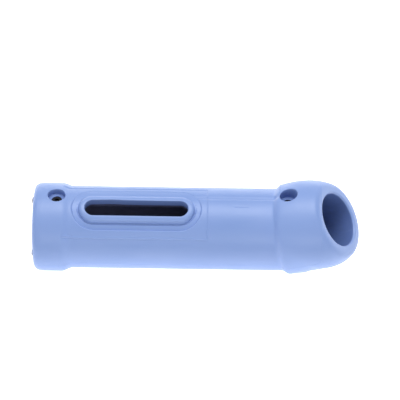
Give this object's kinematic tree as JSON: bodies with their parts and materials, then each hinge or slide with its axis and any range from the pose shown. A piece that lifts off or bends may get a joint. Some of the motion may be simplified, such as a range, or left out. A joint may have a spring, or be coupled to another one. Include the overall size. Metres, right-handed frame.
{
  "type": "pool vacuum head body",
  "caption": "Tubular suction head body with a turning hose collar, a turning relief sleeve behind a long slot, and an angled nozzle mouth.",
  "frame": {"origin": "centre of the hose socket's mouth, at the left end face", "axes": "+X along the tube from the hose end to the nozzle end, +Z out through the relief slot and towards the side that the mouth bends to, -Y completes the frame"},
  "size_m": [0.1944, 0.0534, 0.0577],
  "materials": {
    "blue_shell": "satin moulded",
    "black_plastic": "smooth moulded",
    "black_rubber": "soft matt",
    "grip_rubber": "ribbed matt",
    "slippery_washer": "waxy",
    "dark_screw": "black oxide",
    "spring_steel": "bright rolled"
  },
  "bodies": {
    "shell": {"housing": "blue_shell", "swivel_thrust_washer": "slippery_washer", "swivel_lock_screw": "dark_screw", "sleeve_stop_screw": "dark_screw", "wave_washer": "spring_steel"},
    "swivel": {"hose_swivel": "black_plastic", "cuff_seal": "black_rubber", "swivel_o_ring": "black_rubber"},
    "sleeve": {"relief_sleeve": "black_plastic", "thumb_grip": "grip_rubber", "sleeve_o_ring_left": "black_rubber", "sleeve_o_ring_right": "black_rubber"}
  },
  "joints": [
    {"name": "hose_swivel_turn", "type": "hinge", "parent": "shell", "child": "swivel", "pos_m": [0.011, 0, 0], "axis": [1, 0, 0], "continuous": true},
    {"name": "relief_sleeve_turn", "type": "hinge", "parent": "shell", "child": "sleeve", "pos_m": [0.09, 0, 0], "axis": [1, 0, 0], "range_deg": [0, 48]}
  ]
}
